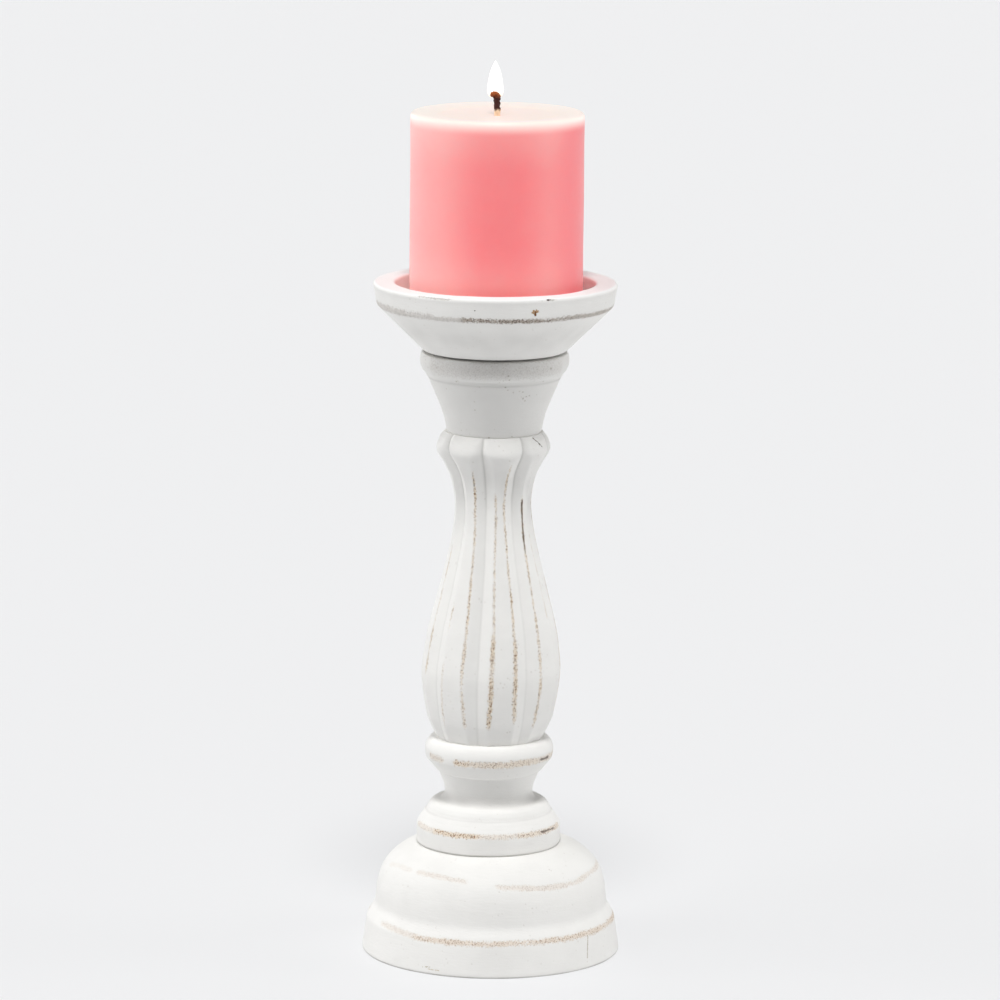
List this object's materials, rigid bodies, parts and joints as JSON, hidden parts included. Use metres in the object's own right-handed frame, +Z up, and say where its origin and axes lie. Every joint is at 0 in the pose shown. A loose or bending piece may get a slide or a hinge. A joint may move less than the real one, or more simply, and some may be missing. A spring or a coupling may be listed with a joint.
{
  "type": "wooden pillar candlestick",
  "caption": "Turned and carved distressed white wood pillar candlestick with a domed base, lobed baluster, flared cup and a lift-out pink pillar candle.",
  "frame": {"origin": "centre of the felt face that the candlestick stands on", "axes": "+Z up along the turning axis; -Y is the front; +X is to the right seen from the front"},
  "size_m": [0.115, 0.115, 0.3846],
  "materials": {
    "painted_wood": "chalky off-white paint, rubbed through to tan wood on the edges",
    "beech": "bare beech",
    "steel": "zinc plated",
    "brass": "plain",
    "felt": "short pile",
    "wax": "smooth translucent wax",
    "wick": "charred braided cotton",
    "tin": "tinned sheet",
    "flame": "glowing flame"
  },
  "bodies": {
    "holder": {"base": "painted_wood", "pedestal": "painted_wood", "baluster": "painted_wood", "neck": "painted_wood", "cup": "painted_wood", "tie_rod": "steel", "tie_washer": "steel", "tie_nut": "steel", "cup_insert": "brass", "base_dowels": "beech", "pedestal_dowels": "beech", "neck_dowels": "beech", "cup_dowels": "beech", "felt_pad": "felt"},
    "candle": {"candle_wax": "wax", "candle_wick": "wick", "wick_tab": "tin"}
  },
  "joints": [
    {"name": "candle_lift", "type": "slide", "parent": "holder", "child": "candle", "axis": [0, 0, 1], "range_m": [0, 0.1]}
  ]
}
